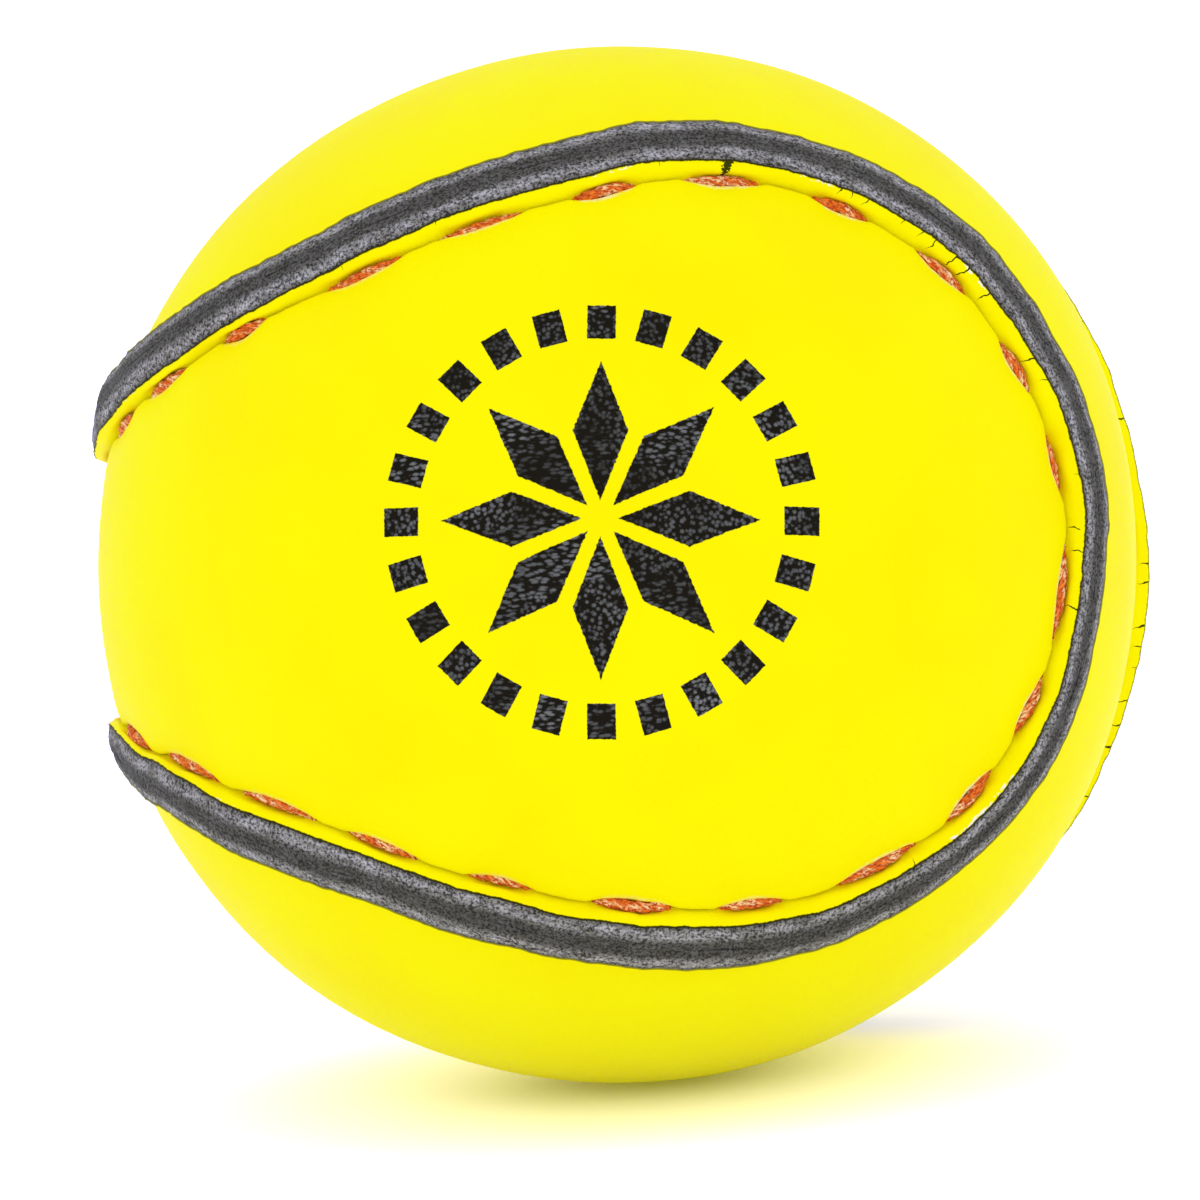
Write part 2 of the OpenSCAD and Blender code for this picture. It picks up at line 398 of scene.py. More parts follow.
def as_it_lies(points):
    """Tilts the ball as it lies, gives its leather soft unevenness, and turns mm into metres."""
    draw = np.random.default_rng(60)
    swell = np.zeros(points.shape[:-1])
    for _ in range(SWELL_WAVES):
        direction = unit(draw.normal(0, 1, 3)) * 2 * np.pi / draw.uniform(*SWELL_LENGTHS)
        swell += np.sin(points @ direction + draw.uniform(0, 2 * np.pi))
    x, y, z = np.moveaxis(points, -1, 0)
    tilt = math.radians(-LIE_TILT)
    tilted = [x, y * math.cos(tilt) - z * math.sin(tilt), y * math.sin(tilt) + z * math.cos(tilt)]
    tilted = np.stack(tilted, -1)
    radius = np.linalg.norm(tilted, axis=-1)
    stray = (SWELL * swell + outline_stray(tilted)) * eased(radius, FLESH_R, GRAIN_R)
    return tilted * (1 + stray / radius)[..., None] * MM


# Meshes
def grid_piece(name, rings, run, across, tube=False, marks=None):
    """A grid laid on rings of points and closed round them, with a map in mm along and across."""
    rows, stations = rings.shape[:2]
    last_row = rows if tube else rows - 1
    net = bmesh.new()
    seam_map = net.loops.layers.uv.new("seam")
    bmesh.ops.create_grid(net, x_segments=stations, y_segments=last_row, size=1)
    net.verts.index_update()
    places = [(round((v.co.x + 1) / 2 * stations), round((v.co.y + 1) / 2 * last_row)) for v in net.verts]
    for vert, (column, row) in zip(net.verts, places):
        vert.co = rings[row % rows, column % stations]
    for label, values in (marks or {}).items():
        layer = net.verts.layers.float.new(label)
        for vert, (column, row) in zip(net.verts, places):
            vert[layer] = values[row, column % stations]
    for face in net.faces:
        face.smooth = True
        for loop in face.loops:
            column, row = places[loop.vert.index]
            loop[seam_map].uv = (run[column], across[row, column % stations])
    bmesh.ops.remove_doubles(net, verts=net.verts, dist=MERGE_DISTANCE)
    bmesh.ops.recalc_face_normals(net, faces=net.faces)
    data = bpy.data.meshes.new(name)
    net.to_mesh(data)
    net.free()
    piece = bpy.data.objects.new(name, data)
    bpy.context.scene.collection.objects.link(piece)
    return piece


def arc_length(off, height):
    """Distance along a section from its first row, at each row."""
    steps = np.hypot(np.diff(off, axis=0), np.diff(height, axis=0))
    return np.concatenate([np.zeros((1, off.shape[1])), np.cumsum(steps, axis=0)])


SEAM_RUN = np.arange(STATIONS + 1) / STATIONS * SEAM_MM


def open_lengths(first, count):
    """Distances from the rib's edge that go on over the open rows."""
    return first + OPEN_ROW_RUN * np.arange(1, count + 2)[:, None]


def make_coating(side, name):
    """The thin yellow film on a panel: its face, its cut edge and its glued side, closed."""
    off, height = coating_section(side)
    glued_off, glued_height = sunk(off, height, COATING_T)
    face = laid_on_seam(side, off, height)
    glued = laid_on_seam(side, glued_off, glued_height)
    face_open = open_rows(side, face[-1], BALL_R, OUTER_OPEN_ROWS)
    glued_open = open_rows(side, glued[-1], BALL_R - COATING_T, INNER_OPEN_ROWS)
    rings = np.concatenate([face_open[::-1], face[::-1], glued, glued_open])
    face_map = arc_length(off, height)
    glued_map = -COATING_T - arc_length(glued_off, glued_height)
    across = np.concatenate([
        open_lengths(face_map[-1], OUTER_OPEN_ROWS)[::-1], face_map[::-1],
        glued_map, -open_lengths(-glued_map[-1], INNER_OPEN_ROWS)])
    key_rows = np.cumsum((0,) + KEY_STEPS)
    row = np.arange(len(rings))[:, None] - OUTER_OPEN_ROWS - 1
    from_edge = len(face) - 1 - row

    def marked(strength, key, back, spread):
        return np.exp(-((from_edge - key_rows[key] + back) / spread) ** 2) * strength

    marks = {"lip": marked(PULL[side], *LIP_MARK),
             "crease": marked(np.ones((1, STATIONS)), *CREASE_SHADE_MARK)}
    piece = grid_piece(name, as_it_lies(rings), SEAM_RUN, across, marks=marks)
    piece.data.set_sharp_from_angle(angle=math.radians(SHARP_FILM))
    return piece


def make_leather(side, name):
    """A leather panel: grain side under the film, bare cut edge, and flesh side on the core."""
    off, height = coating_section(side)
    grain_off, grain_height = sunk(off, height, COATING_T + GLUE_T)
    edge_off, edge_height = cut_edge_section(side, grain_off[0], grain_height[0])
    flesh_off, flesh_height = flesh_section(edge_off[-1], edge_height[-1])
    grain = laid_on_seam(side, grain_off, grain_height)
    edge = laid_on_seam(side, edge_off, edge_height)
    flesh = laid_on_seam(side, flesh_off, flesh_height)
    grain_open = open_rows(side, grain[-1], GRAIN_R, INNER_OPEN_ROWS)
    flesh_open = open_rows(side, flesh[-1], FLESH_R, INNER_OPEN_ROWS)
    rings = np.concatenate([grain_open[::-1], grain[::-1], edge, flesh, flesh_open])
    full = np.ones((1, STATIONS))
    grain_map = -arc_length(grain_off, grain_height)
    edge_map = np.linspace(0, 1, EDGE_ROWS + 2)[1:, None] * full
    flesh_map = 1 + arc_length(flesh_off, flesh_height)
    across = np.concatenate([
        -open_lengths(-grain_map[-1], INNER_OPEN_ROWS)[::-1], grain_map[::-1],
        edge_map, flesh_map + 0.1, open_lengths(flesh_map[-1], INNER_OPEN_ROWS)])
    piece = grid_piece(name, as_it_lies(rings), SEAM_RUN, across)
    piece.data.set_sharp_from_angle(angle=math.radians(SHARP_LEATHER))
    return piece


# Thread, in mm: its three plies, the mouth of its holes beside the rib's middle, its seat off the
# pinched flank, its depth in the holes and its rise along a stitch
PLY_COUNT = 3
PLY_R = 0.242
PLY_OFF = 0.182
PLY_PITCH = 3.3
HOLE_MOUTH = 1.0
THREAD_SEAT = 0.48
HOLE_DEPTH = 1.0
STITCH_RISE = 0.82
# How square a stitch is seen from above and from the side, and rounds of smoothing
SQUARE_ABOVE = 0.2
SQUARE_ASIDE = 0.6
THREAD_SMOOTHING = 3


def thread_line():
    """Middle of the thread: through each hole, then along one side of the rib to the next."""
    share, across, rise = [], [], []
    for k in range(HOLE_COUNT):
        side = FRONT if k % 2 == 0 else TOP
        along = (np.arange(STITCH_POINTS) + 0.5) / STITCH_POINTS
        bow = np.sin(np.pi * along)
        here = HOLES[k] + (HOLES[k + 1] - HOLES[k]) * along
        seat = at_share(PINCH[side], here) + THREAD_SEAT
        share.append(here)
        across.append(side * (HOLE_MOUTH + (seat - HOLE_MOUTH) * bow ** SQUARE_ABOVE))
        rise.append(-HOLE_DEPTH + STITCH_RISE * STITCH_STRENGTH[k] * bow ** SQUARE_ASIDE)
    share, across, rise = (np.concatenate(part) for part in (share, across, rise))
    out, inward = seam_frame(share)
    across = across + at_share(SEAM_SHIFT, share)
    height = np.sqrt(BALL_R ** 2 - across ** 2) + rise
    line = height[:, None] * out + across[:, None] * inward
    for _ in range(THREAD_SMOOTHING):
        line = (np.roll(line, 1, 0) + 2 * line + np.roll(line, -1, 0)) / 4
    lengths = np.linalg.norm(np.roll(line, -1, 0) - line, axis=1)
    run = np.concatenate([[0], np.cumsum(lengths)])
    count = round(run[-1] / THREAD_STEP)
    even = np.arange(count) / count * run[-1]
    closed = np.concatenate([line, line[:1]])
    return np.stack([np.interp(even, run, closed[:, axis]) for axis in range(3)], -1), run[-1]


def run_frame(line):
    """Two directions square to a closed line, the first as far outwards as can be."""
    along = unit(np.roll(line, -1, 0) - np.roll(line, 1, 0))
    out = unit(line)
    up = unit(out - np.sum(out * along, -1, keepdims=True) * along)
    return up, np.cross(along, up)


def make_thread(name):
    """Waxed thread of three plies laid round each other, sewn through the rib."""
    line, length = thread_line()
    up, aside = run_frame(line)
    turns = round(length / PLY_PITCH)
    run = np.arange(len(line)) / len(line)
    pieces = []
    for ply in range(PLY_COUNT):
        twist = (2 * np.pi * (turns * run + ply / PLY_COUNT))[:, None]
        middle = line + PLY_OFF * (np.cos(twist) * up + np.sin(twist) * aside)
        ply_up, ply_aside = run_frame(middle)
        round_angles = 2 * np.pi * np.arange(PLY_SIDES) / PLY_SIDES
        rings = np.stack([middle + PLY_R * (math.cos(a) * ply_up + math.sin(a) * ply_aside)
                          for a in round_angles])
        across = np.arange(PLY_SIDES + 1)[:, None] / PLY_SIDES + 2.0 * ply
        across = np.broadcast_to(across, (PLY_SIDES + 1, len(line)))
        along = np.arange(len(line) + 1) * length / len(line)
        pieces.append(grid_piece(f"{name}_ply", as_it_lies(rings), along, across, tube=True))
    return joined(name, pieces)


def joined(name, pieces):
    """One piece with the meshes of several."""
    net = bmesh.new()
    for piece in pieces:
        net.from_mesh(piece.data)
        bpy.data.meshes.remove(piece.data)
    data = bpy.data.meshes.new(name)
    net.to_mesh(data)
    net.free()
    piece = bpy.data.objects.new(name, data)
    bpy.context.scene.collection.objects.link(piece)
    return piece


front_coating = make_coating(FRONT, "front_coating")
top_coating = make_coating(TOP, "top_coating")
front_leather = make_leather(FRONT, "front_leather")
top_leather = make_leather(TOP, "top_leather")
sewing_thread = make_thread("sewing_thread")


# Shader building blocks
def ink(red, green, blue):
    """A colour as it shows on a screen, 0 to 255, as the shader's own numbers."""
    shown = [part / 255 for part in (red, green, blue)]
    plain = [part / 12.92 if part <= 0.04045 else ((part + 0.055) / 1.055) ** 2.4 for part in shown]
    return (*plain, 1.0)


class NodeBench:
    """Adds nodes to one tree and joins them to sockets or plain values."""

    def __init__(self, tree):
        self.tree = tree

    def put(self, socket, value):
        if isinstance(value, bpy.types.NodeSocket):
            self.tree.links.new(value, socket)
        else:
            socket.default_value = value

    def node(self, kind, inputs=None, **settings):
        made = self.tree.nodes.new(kind)
        for name, value in settings.items():
            setattr(made, name, value)
        for name, value in (inputs or {}).items():
            self.put(made.inputs[name], value)
        return made

    def group(self, tree, **inputs):
        made = self.tree.nodes.new("ShaderNodeGroup")
        made.node_tree = tree
        for name, value in inputs.items():
            self.put(made.inputs[name.replace("_", " ")], value)
        return made

    def math(self, operation, *values):
        made = self.node("ShaderNodeMath", operation=operation)
        for socket, value in zip(made.inputs, values):
            self.put(socket, value)
        return made.outputs[0]

    def times(self, first, second):
        return self.math("MULTIPLY", first, second)

    def plus(self, first, second):
        return self.math("ADD", first, second)

    def minus(self, first, second):
        return self.math("SUBTRACT", first, second)

    def line(self, value, slope, start):
        """A value times a slope, from a start."""
        return self.math("MULTIPLY_ADD", value, slope, start)

    def step(self, value, low, high):
        """0 at low, 1 at high, soft in between; low may be the larger."""
        made = self.node("ShaderNodeMapRange", interpolation_type="SMOOTHSTEP")
        flipped = low > high
        for name, put in (("Value", value), ("From Min", min(low, high)), ("From Max", max(low, high)),
                          ("To Min", float(flipped)), ("To Max", float(not flipped))):
            self.put(made.inputs[name], put)
        return made.outputs[0]

    def mix(self, factor, first, second):
        made = self.node("ShaderNodeMix", data_type="RGBA")
        for index, value in ((0, factor), (6, first), (7, second)):
            self.put(made.inputs[index], value)
        return made.outputs[2]

    def noise(self, vector, scale, detail=2.0, rough=0.5):
        made = self.node("ShaderNodeTexNoise", {"Vector": vector, "Scale": scale, "Detail": detail,
                                                "Roughness": rough})
        return made.outputs["Fac"]

    def object_place(self):
        return self.node("ShaderNodeTexCoord").outputs["Object"]

    def seam_place(self):
        """Distances along and across the seam, in millimetres, from the piece's own map."""
        seam_map = self.node("ShaderNodeUVMap", uv_map="seam")
        split = self.node("ShaderNodeSeparateXYZ", {"Vector": seam_map.outputs[0]})
        return split.outputs[0], split.outputs[1]

    def mark(self, label):
        """A mark that the mesh carries at its points."""
        return self.node("ShaderNodeAttribute", attribute_name=label).outputs["Fac"]

    def spot(self, x, y=0.0):
        """A place for noise, from one or two readings."""
        return self.node("ShaderNodeCombineXYZ", {"X": x, "Y": y}).outputs[0]

    def bump(self, height, strength, depth):
        """A surface direction for relief of that height, with its depth in metres."""
        made = self.node("ShaderNodeBump", {"Strength": strength, "Distance": depth, "Height": height})
        return made.outputs[0]


def new_group(name, outputs, inputs=None):
    """An empty shader group with named sockets, its bench, and its two ends."""
    tree = bpy.data.node_groups.new(name, "ShaderNodeTree")
    for label, kind in (inputs or {}).items():
        tree.interface.new_socket(label, in_out="INPUT", socket_type=kind)
    for label in outputs:
        tree.interface.new_socket(label, in_out="OUTPUT", socket_type="NodeSocketFloat")
    bench = NodeBench(tree)
    return tree, bench, bench.node("NodeGroupInput").outputs, bench.node("NodeGroupOutput").inputs


# Pebbles of the leather's grain in each metre, and the patches where they are drawn out sideways
PEBBLES = 3000.0
LONG_PEBBLES = 3700.0
LONG_PEBBLE_STRETCH = (0.45, 1.0, 1.0)
GRAIN_PATCHES = 140.0


def leather_grain():
    """Leather grain that shows through the film: small pebbles, drawn out sideways in places."""
    tree, bench, _, result = new_group("leather grain", ["Height", "Tops"])
    place = bench.object_place()
    stretched = bench.node("ShaderNodeMapping", {"Vector": place, "Scale": LONG_PEBBLE_STRETCH})

    def cells(at, scale):
        """Rounded cells, roughened by finer noise: 1 at their tops."""
        found = bench.node("ShaderNodeTexVoronoi", {"Vector": at, "Scale": scale})
        rough = bench.times(bench.noise(at, 2.2 * scale, 2.0), 0.5)
        return bench.minus(bench.plus(rough, 0.75), found.outputs["Distance"])

    where = bench.step(bench.noise(place, GRAIN_PATCHES, 1.0), 0.42, 0.58)
    both = {"Factor": where, "A": cells(place, PEBBLES), "B": cells(stretched.outputs[0], LONG_PEBBLES)}
    height = bench.node("ShaderNodeMix", both, data_type="FLOAT").outputs[0]
    bench.put(result["Height"], height)
    bench.put(result["Tops"], bench.step(height, 0.4, 0.8))
    return tree


# Clumps of fibres for each fine fibre
CLUMP_SCALE = 0.17


def fibre_speckle():
    """Fine speckle of cut or twisted fibres, read at a place that its material gives."""
    sockets = {"Place": "NodeSocketVector", "Scale": "NodeSocketFloat"}
    tree, bench, given, result = new_group("fibre speckle", ["Fine", "Clumps"], sockets)
    fine = bench.noise(given["Place"], given["Scale"], 3.0, 0.7)
    bench.put(result["Fine"], bench.step(fine, 0.38, 0.6))
    wide = bench.times(given["Scale"], CLUMP_SCALE)
    clumps = bench.noise(given["Place"], wide, 2.0, 0.6)
    bench.put(result["Clumps"], bench.step(clumps, 0.3, 0.7))
    return tree


# The seam is worn most on two stretches half a turn apart, the first this far before its start
WORN_BACK = 0.035
# The film has split open at this share of the seam: half its width, its roughness and its depth down
# the flank, in mm
SPLIT_PLACE = -0.0955
SPLIT_HALF = 0.3
SPLIT_ROUGH = 1.2
SPLIT_DEPTH = (2.4, 0.3)
# Dark cut edge of the film, partly painted shade where the film meets the rib: where it ends, in mm down
# the flank, and its roughness
CUT_EDGE = (0.13, 0.03)
CUT_EDGE_ROUGH = 0.16
# Cracks across the flank, in mm: spacing, lean and curl; their share on the worn and on other stretches
CRACK_SPACING = 1.35
CRACK_LEAN = 0.25
CRACK_CURL = 0.7
CRACKS_WORN = 0.5
CRACKS_LEAST = 0.03
# Their least length and what is added by chance, their taper, and half the width of thin and wide ones
CRACK_LENGTH = 0.3
CRACK_LONGER = 1.5
CRACK_TAPER = 0.05
CRACK_HALF = 0.036
WIDE_CRACK_MORE = 0.11
# White chips at the edge: where they end, in mm down the flank, noise along and down, and stretches
CHIP_DEPTH = (0.5, 0.12)
CHIPS_ALONG = 1.7
CHIPS_DOWN = 2.4
CHIP_STRETCHES = 0.075


def film_wear_and_edge_shade():
    """Wear of the yellow film beside the rib: dark cut edge with painted shade along it, cracks across
    the flank, white chips.
    """
    tree, bench, _, result = new_group("film wear and edge shade", ["Cut edge", "Cracks", "Chips", "Worn side"])
    along, down = bench.seam_place()
    place = bench.object_place()
    ragged = bench.noise(place, 5200.0, 3.0, 0.6)
    depth = bench.plus(down, bench.times(bench.minus(ragged, 0.5), CUT_EDGE_ROUGH))
    bench.put(result["Cut edge"], bench.step(depth, *CUT_EDGE))

    lean = bench.times(down, CRACK_LEAN)
    curl = bench.times(bench.minus(bench.noise(place, 1300.0, 2.0), 0.5), CRACK_CURL)
    swept = bench.math("DIVIDE", bench.plus(bench.plus(along, lean), curl), CRACK_SPACING)
    lines = bench.node("ShaderNodeTexVoronoi", {"W": swept, "Scale": 1.0}, voronoi_dimensions="1D")
    chance = bench.node("ShaderNodeSeparateColor", {"Color": lines.outputs["Color"]})
    where = bench.noise(bench.spot(bench.times(along, 0.03)), 1.0, 1.0)
    rate = bench.plus(bench.step(where, 0.46, 0.62), 0.16)
    swing = bench.line(along, 4 * math.pi / float(SEAM_MM), 4 * math.pi * WORN_BACK)
    worn_side = bench.step(bench.math("COSINE", swing), -0.2, 0.5)
    bench.put(result["Worn side"], worn_side)
    often = bench.line(bench.times(rate, worn_side), CRACKS_WORN, CRACKS_LEAST)
    there = bench.math("LESS_THAN", chance.outputs[0], often)
    reach = bench.line(chance.outputs[1], CRACK_LONGER, CRACK_LENGTH)
    width = bench.times(bench.minus(reach, down), CRACK_TAPER)
    widest = bench.line(bench.step(chance.outputs[2], 0.86, 0.92), WIDE_CRACK_MORE, CRACK_HALF)
    thin = bench.math("LESS_THAN", lines.outputs["Distance"], bench.math("MINIMUM", width, widest))
    on_face = bench.math("GREATER_THAN", down, 0.0)
    cracks = bench.times(thin, there)
    torn = bench.line(bench.minus(ragged, 0.5), SPLIT_ROUGH, SPLIT_HALF)
    open_here = bench.times(torn, bench.step(down, *SPLIT_DEPTH))
    split_at = SPLIT_PLACE % 1 * float(SEAM_MM)
    away = bench.math("ABSOLUTE", bench.minus(bench.plus(along, curl), split_at))
    cracks = bench.math("MAXIMUM", cracks, bench.math("LESS_THAN", away, open_here))
    bench.put(result["Cracks"], bench.times(cracks, on_face))

    near = bench.step(down, *CHIP_DEPTH)
    chip_place = bench.spot(bench.times(along, CHIPS_ALONG), bench.times(down, CHIPS_DOWN))
    chip_noise = bench.noise(chip_place, 1.0, 3.0, 0.65)
    rare = bench.noise(bench.spot(bench.times(along, CHIP_STRETCHES)), 1.0, 1.0)
    chip = bench.times(bench.step(chip_noise, 0.46, 0.58), bench.step(rare, 0.57, 0.63))
    near = bench.times(near, bench.line(worn_side, 0.45, 0.55))
    chip = bench.step(bench.times(chip, near), 0.4, 0.55)
    bench.put(result["Chips"], bench.times(chip, on_face))
    return tree


# Printed star, in millimetres on the front lobe
PRINT_MIDDLE = Vector((0.1138, -0.9648, 0.2384)).normalized()
STAR_POINTS = 8
POINT_MIDDLE = 5.9
POINT_HALF_LENGTH = 4.7
POINT_HALF_WIDTH = 1.85
BAR_COUNT = 24
BAR_MIDDLE = 13.3
BAR_HALF_LENGTH = 1.15
BAR_HALF_WIDTH = 0.95


def printed_star():
    """Mask of a star of black lozenges in a ring of short bars, printed on the front lobe."""
    tree, bench, _, result = new_group("printed star", ["Print"])
    place = bench.object_place()
    right = (VIEW_RIGHT - PRINT_MIDDLE * VIEW_RIGHT.dot(PRINT_MIDDLE)).normalized()
    above = right.cross(-PRINT_MIDDLE).normalized()

    def reading(direction):
        made = bench.node("ShaderNodeVectorMath", operation="DOT_PRODUCT")
        bench.put(made.inputs[0], place)
        bench.put(made.inputs[1], direction)
        return bench.math("DIVIDE", made.outputs["Value"], MM)

    x, y, outward = reading(right), reading(above), reading(PRINT_MIDDLE)
    radius = bench.math("SQRT", bench.plus(bench.times(x, x), bench.times(y, y)))
    angle = bench.math("ARCTAN2", y, x)
    bleed = bench.times(bench.minus(bench.noise(place, 4200.0, 2.0), 0.5), 0.12)

    def turned_in(count):
        """Distances along and aside of the nearest of evenly turned rays."""
        wedge = 2 * math.pi / count
        folded = bench.math("PINGPONG", bench.plus(angle, math.pi), wedge / 2)
        return (bench.times(radius, bench.math("COSINE", folded)),
                bench.times(radius, bench.math("SINE", folded)))

    def share_from(value, middle, half):
        return bench.math("DIVIDE", bench.math("ABSOLUTE", bench.minus(value, middle)), half)

    along, aside = turned_in(STAR_POINTS)
    lozenge = bench.plus(share_from(along, POINT_MIDDLE, POINT_HALF_LENGTH),
                         share_from(aside, 0.0, POINT_HALF_WIDTH))
    bar_along, bar_aside = turned_in(BAR_COUNT)
    bar = bench.math("MAXIMUM", share_from(bar_along, BAR_MIDDLE, BAR_HALF_LENGTH),
                     share_from(bar_aside, 0.0, BAR_HALF_WIDTH))
    nearest = bench.plus(bench.math("MINIMUM", lozenge, bar), bleed)
    on_front = bench.math("GREATER_THAN", outward, 0.5 * BALL_R)
    bench.put(result["Print"], bench.times(bench.step(nearest, 1.02, 0.98), on_front))
    return tree


GRAIN = leather_grain()
SPECKLE = fibre_speckle()
WEAR_AND_EDGE_SHADE = film_wear_and_edge_shade()
STAR = printed_star()


def new_material(name, **settings):
    """A material with a Principled shader whose even values are set on its own sockets."""
    material = bpy.data.materials.new(name)
    material.use_nodes = True
    shader = material.node_tree.nodes["Principled BSDF"]
    for label, value in settings.items():
        shader.inputs[label.replace("_", " ")].default_value = value
    return material, NodeBench(material.node_tree), shader.inputs


# Depth of each relief, in metres
GRAIN_DEPTH = 0.00003
FIBRE_DEPTH = 0.00005
FOAM_DEPTH = 0.0001
# Fibres of the cut edge and of the core in each metre, and of the thread in each step of its own map
EDGE_FIBRES = 4800.0
CORE_FIBRES = 2400.0
THREAD_FIBRES = 1.6

FILM_YELLOW = ink(255, 248, 0)
FILM_DEEP = ink(255, 243, 0)
CREASE_SHADE = ink(150, 138, 0)
LIP_HIGHLIGHT_AND_STRAIN = ink(255, 248, 205)
CUT_FILM_AND_SHADE = ink(52, 50, 12)
CUT_FILM_PALE_AND_SHADE = ink(150, 144, 40)
CRACK_DARK = ink(58, 62, 10)
CHIP_WHITE = ink(250, 250, 246)
PRINT_BLACK = ink(26, 23, 17)
PRINT_PAINTED_HIGHLIGHT = ink(150, 153, 160)


def coating_finish(name, printed):
    """Matt yellow film on the leather, worn along its cut edges, with or without the print; painted shade
    in its crease and along its cut edge, a painted highlight along the lip and painted highlights on the
    print.
    """
    material, bench, shader = new_material(
        name, Specular_IOR_Level=0.03, Sheen_Weight=0.02, Sheen_Roughness=0.35)
    grain = bench.group(GRAIN).outputs
    wear = bench.group(WEAR_AND_EDGE_SHADE).outputs
    tone = bench.noise(bench.object_place(), 90.0, 2.0)
    colour = bench.mix(bench.step(tone, 0.35, 0.75), FILM_YELLOW, FILM_DEEP)
    # Painted shade: the film is darkened towards olive in the crease at the foot of the flank
    colour = bench.mix(bench.times(bench.mark("crease"), 0.22), colour, CREASE_SHADE)
    # Paler film on the lip where the stitches pull it open: partly a painted highlight on the lip's edge,
    # partly whitened by strain
    fray = bench.step(bench.noise(bench.object_place(), 3600.0, 2.0), 0.35, 0.6)
    lip_highlight_and_strain = bench.times(bench.step(bench.mark("lip"), 0.25, 0.7), fray)
    lip_highlight_and_strain = bench.times(lip_highlight_and_strain, bench.line(wear["Worn side"], 0.7, 0.3))
    colour = bench.mix(lip_highlight_and_strain, colour, LIP_HIGHLIGHT_AND_STRAIN)
    if printed:
        star = bench.group(STAR).outputs["Print"]
        # Painted highlights on the print: the grain's tops are lighter, more so in broad patches of
        # painted sheen
        painted_sheen = bench.step(bench.noise(bench.object_place(), 130.0, 2.0), 0.3, 0.72)
        painted_shine = bench.times(grain["Tops"], bench.line(painted_sheen, 0.55, 0.08))
        colour = bench.mix(star, colour, bench.mix(painted_shine, PRINT_BLACK, PRINT_PAINTED_HIGHLIGHT))
    colour = bench.mix(wear["Chips"], colour, CHIP_WHITE)
    colour = bench.mix(wear["Cracks"], colour, CRACK_DARK)
    # The film's own dark cut edge, with painted shade along it where the film meets the rib
    colour = bench.mix(wear["Cut edge"], colour, CUT_FILM_AND_SHADE if printed else CUT_FILM_PALE_AND_SHADE)
    bench.put(shader["Base Color"], colour)
    bench.put(shader["Roughness"], bench.line(grain["Tops"], -0.14, 0.56))
    bench.put(shader["Normal"], bench.bump(grain["Height"], 0.4, GRAIN_DEPTH))
    return material


EDGE_BLACK = ink(30, 28, 24)
EDGE_GREY = ink(124, 122, 119)
EDGE_PALE = ink(202, 200, 214)
FLESH_GREY = ink(96, 92, 92)


def cut_leather_finish(name):
    """Dyed leather with a fuzzy cut edge, darkest at the fold, partly as painted shade in the groove
    there, and paler towards the grain.
    """
    material, bench, shader = new_material(name, Roughness=0.9, Specular_IOR_Level=0.2, Sheen_Weight=0.06)
    place = bench.object_place()
    along, over = bench.seam_place()
    speckle = bench.group(SPECKLE, Place=place, Scale=EDGE_FIBRES).outputs
    streak_place = bench.spot(bench.times(along, 0.55), bench.times(over, 3.2))
    streak = bench.noise(streak_place, 1.0, 3.0, 0.6)
    pale_band = bench.times(bench.step(over, 0.0, 0.2), bench.step(over, 0.7, 0.25))
    pale = bench.times(bench.step(streak, 0.3, 0.7), bench.line(pale_band, 0.85, 0.1))
    # Darker towards the fold: the edge's dye and painted shade in the groove where the two leathers meet
    fold_dye_and_shade = bench.step(bench.plus(over, bench.times(streak, 0.5)), 0.65, 1.0)
    lit = bench.times(speckle["Fine"], bench.line(fold_dye_and_shade, -0.64, 1.0))
    colour = bench.mix(lit, EDGE_BLACK, EDGE_GREY)
    fleck = bench.times(pale, bench.line(speckle["Fine"], 0.85, 0.15))
    colour = bench.mix(fleck, colour, EDGE_PALE)
    colour = bench.mix(bench.step(over, 1.05, 1.4), colour, FLESH_GREY)
    bench.put(shader["Base Color"], colour)
    height = bench.plus(speckle["Fine"], bench.times(speckle["Clumps"], 0.6))
    bench.put(shader["Normal"], bench.bump(height, 0.6, FIBRE_DEPTH))
    return material


THREAD_RED = ink(250, 130, 40)
THREAD_DARK = ink(188, 60, 8)
THREAD_PALE = ink(255, 232, 190)


def thread_finish(name):
    """Waxed brick-red thread with pale fibres worn up along its plies."""
    material, bench, shader = new_material(name, Specular_IOR_Level=0.2, Sheen_Weight=0.06)
    along, around = bench.seam_place()
    fibre_place = bench.spot(bench.times(along, 2.0), bench.times(around, 5.0))
    speckle = bench.group(SPECKLE, Place=fibre_place, Scale=THREAD_FIBRES).outputs
    colour = bench.mix(speckle["Fine"], THREAD_DARK, THREAD_RED)
    worn_up = bench.step(speckle["Clumps"], 0.38, 0.75)
    worn = bench.times(worn_up, bench.step(speckle["Fine"], 0.35, 0.8))
    colour = bench.mix(bench.times(worn, 0.8), colour, THREAD_PALE)
    bench.put(shader["Base Color"], colour)
    bench.put(shader["Roughness"], bench.line(worn, 0.25, 0.6))
    bench.put(shader["Normal"], bench.bump(speckle["Fine"], 0.5, FIBRE_DEPTH))
    return material


CORE_PALE = ink(204, 196, 178)
CORE_DULL = ink(176, 168, 150)


def core_finish(name):
    """Moulded core: dull, slightly foamed."""
    material, bench, shader = new_material(name, Roughness=0.75)
    speckle = bench.group(SPECKLE, Place=bench.object_place(), Scale=CORE_FIBRES).outputs
    bench.put(shader["Base Color"], bench.mix(speckle["Clumps"], CORE_PALE, CORE_DULL))
    bench.put(shader["Normal"], bench.bump(speckle["Fine"], 0.4, FOAM_DEPTH))
    return material


def finish_piece(piece, material):
    piece.data.materials.clear()
    piece.data.materials.append(material)


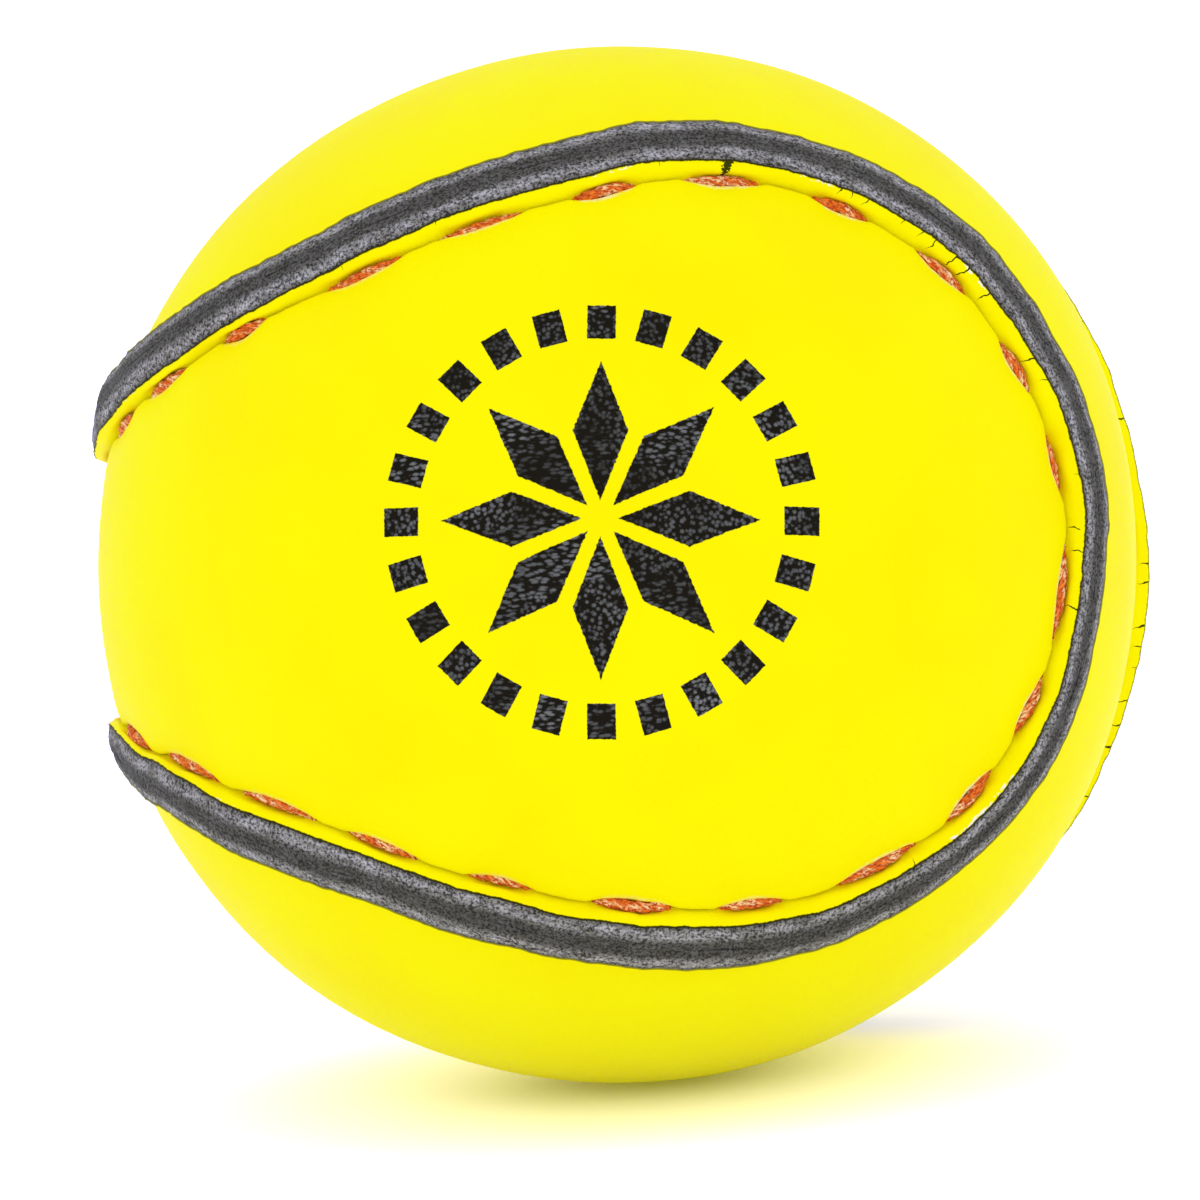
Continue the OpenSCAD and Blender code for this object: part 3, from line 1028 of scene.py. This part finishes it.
printed_film = coating_finish("printed yellow film", True)
plain_film = coating_finish("plain yellow film", False)
cut_leather = cut_leather_finish("cut leather")
finish_piece(front_coating, printed_film)
finish_piece(top_coating, plain_film)
finish_piece(front_leather, cut_leather)
finish_piece(top_leather, cut_leather)
finish_piece(sewing_thread, thread_finish("waxed thread"))
finish_piece(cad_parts["core"], core_finish("moulded core"))

for piece, node, slot in (
        (front_coating, "front_panel_coating", "yellow_coating"),
        (top_coating, "top_panel_coating", "yellow_coating"),
        (front_leather, "front_panel_leather", "cut_leather"),
        (top_leather, "top_panel_leather", "cut_leather"),
        (sewing_thread, "seam_thread", "waxed_thread")):
    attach(piece, "root")
    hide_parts(node)

# Floor and light: half the floor's side in metres, its colour for the light that it throws back and
# as the camera sees it, its faint glow that lights the ball from below, and the sky's strength
FLOOR_HALF = 3.0
FLOOR_LIT = (0.97, 0.97, 0.97, 1.0)
FLOOR_SEEN = (1.4, 1.4, 1.95, 1.0)
FLOOR_GLOW = 0.09
SKY_LIGHT = 0.95
LAMP_WATTS = 1.5
LAMP_PLACE = Vector((0.25, -1.7, 0.9))
LAMP_SIZE = (1.2, 0.8)


def seen_ray(bench):
    """1 where the camera sees a surface, straight or in a reflection."""
    path = bench.node("ShaderNodeLightPath").outputs
    mirrored = bench.math("MAXIMUM", path["Is Glossy Ray"], path["Is Transmission Ray"])
    return bench.math("MAXIMUM", path["Is Camera Ray"], mirrored)


def make_floor():
    net = bmesh.new()
    bmesh.ops.create_grid(net, x_segments=4, y_segments=4, size=FLOOR_HALF)
    bmesh.ops.translate(net, verts=net.verts, vec=(0, 0, -BALL_R * MM))
    data = bpy.data.meshes.new("floor")
    net.to_mesh(data)
    net.free()
    floor = bpy.data.objects.new("floor", data)
    bpy.context.scene.collection.objects.link(floor)
    material = bpy.data.materials.new("pale floor")
    material.use_nodes = True
    tree = material.node_tree
    tree.nodes.remove(tree.nodes["Principled BSDF"])
    bench = NodeBench(tree)
    seen = seen_ray(bench)
    matt = bench.node("ShaderNodeBsdfDiffuse", {"Color": bench.mix(seen, FLOOR_LIT, FLOOR_SEEN)})
    glow = bench.line(seen, -FLOOR_GLOW, FLOOR_GLOW)
    lit_from_below = bench.node("ShaderNodeEmission", {"Strength": glow})
    table = bench.node("ShaderNodeAddShader")
    bench.put(table.inputs[0], matt.outputs[0])
    bench.put(table.inputs[1], lit_from_below.outputs[0])
    bench.put(tree.nodes["Material Output"].inputs["Surface"], table.outputs[0])
    data.materials.append(material)


def make_light():
    world = bpy.data.worlds.new("studio")
    bpy.context.scene.world = world
    world.use_nodes = True
    bench = NodeBench(world.node_tree)
    seen = seen_ray(bench)
    sky = world.node_tree.nodes["Background"]
    sky.inputs["Color"].default_value = (1, 1, 1, 1)
    bench.put(sky.inputs["Strength"], bench.line(seen, 1 - SKY_LIGHT, SKY_LIGHT))
    lamp = bpy.data.lights.new("front softbox", "AREA")
    lamp.energy = LAMP_WATTS
    lamp.shape = "RECTANGLE"
    lamp.size, lamp.size_y = LAMP_SIZE
    soft = bpy.data.objects.new("front softbox", lamp)
    soft.location = LAMP_PLACE
    soft.rotation_euler = LAMP_PLACE.to_track_quat("Z", "Y").to_euler()
    soft.visible_camera = False
    bpy.context.scene.collection.objects.link(soft)


# The photograph's view: the ball's middle and radius in its pixels
IMAGE_SIDE = 1200
BALL_PIXELS = 520.7
MIDDLE_PIXEL = (617.4, 564.2)
VIEW_DISTANCE = 1.586
SENSOR_MM = 36.0


def make_camera():
    radius = BALL_R * MM
    limb = radius / math.sqrt(VIEW_DISTANCE ** 2 - radius ** 2)
    pixels_per_slope = BALL_PIXELS / limb
    per_pixel = VIEW_DISTANCE / pixels_per_slope
    half = IMAGE_SIDE / 2
    aside = VIEW_RIGHT * (half - MIDDLE_PIXEL[0])
    aim = (aside + VIEW_UP * (MIDDLE_PIXEL[1] - half)) * per_pixel
    data = bpy.data.cameras.new("camera")
    data.sensor_width = SENSOR_MM
    data.lens = SENSOR_MM * pixels_per_slope / IMAGE_SIDE
    data.clip_start = 0.05
    data.clip_end = 20
    camera = bpy.data.objects.new("camera", data)
    place = aim - VIEW_FORWARD * VIEW_DISTANCE
    turn = Matrix((VIEW_RIGHT, VIEW_UP, -VIEW_FORWARD)).transposed().to_4x4()
    camera.matrix_world = Matrix.Translation(place) @ turn
    bpy.context.scene.collection.objects.link(camera)
    bpy.context.scene.camera = camera


make_floor()
make_light()
make_camera()
bpy.context.scene.view_settings.view_transform = "Standard"
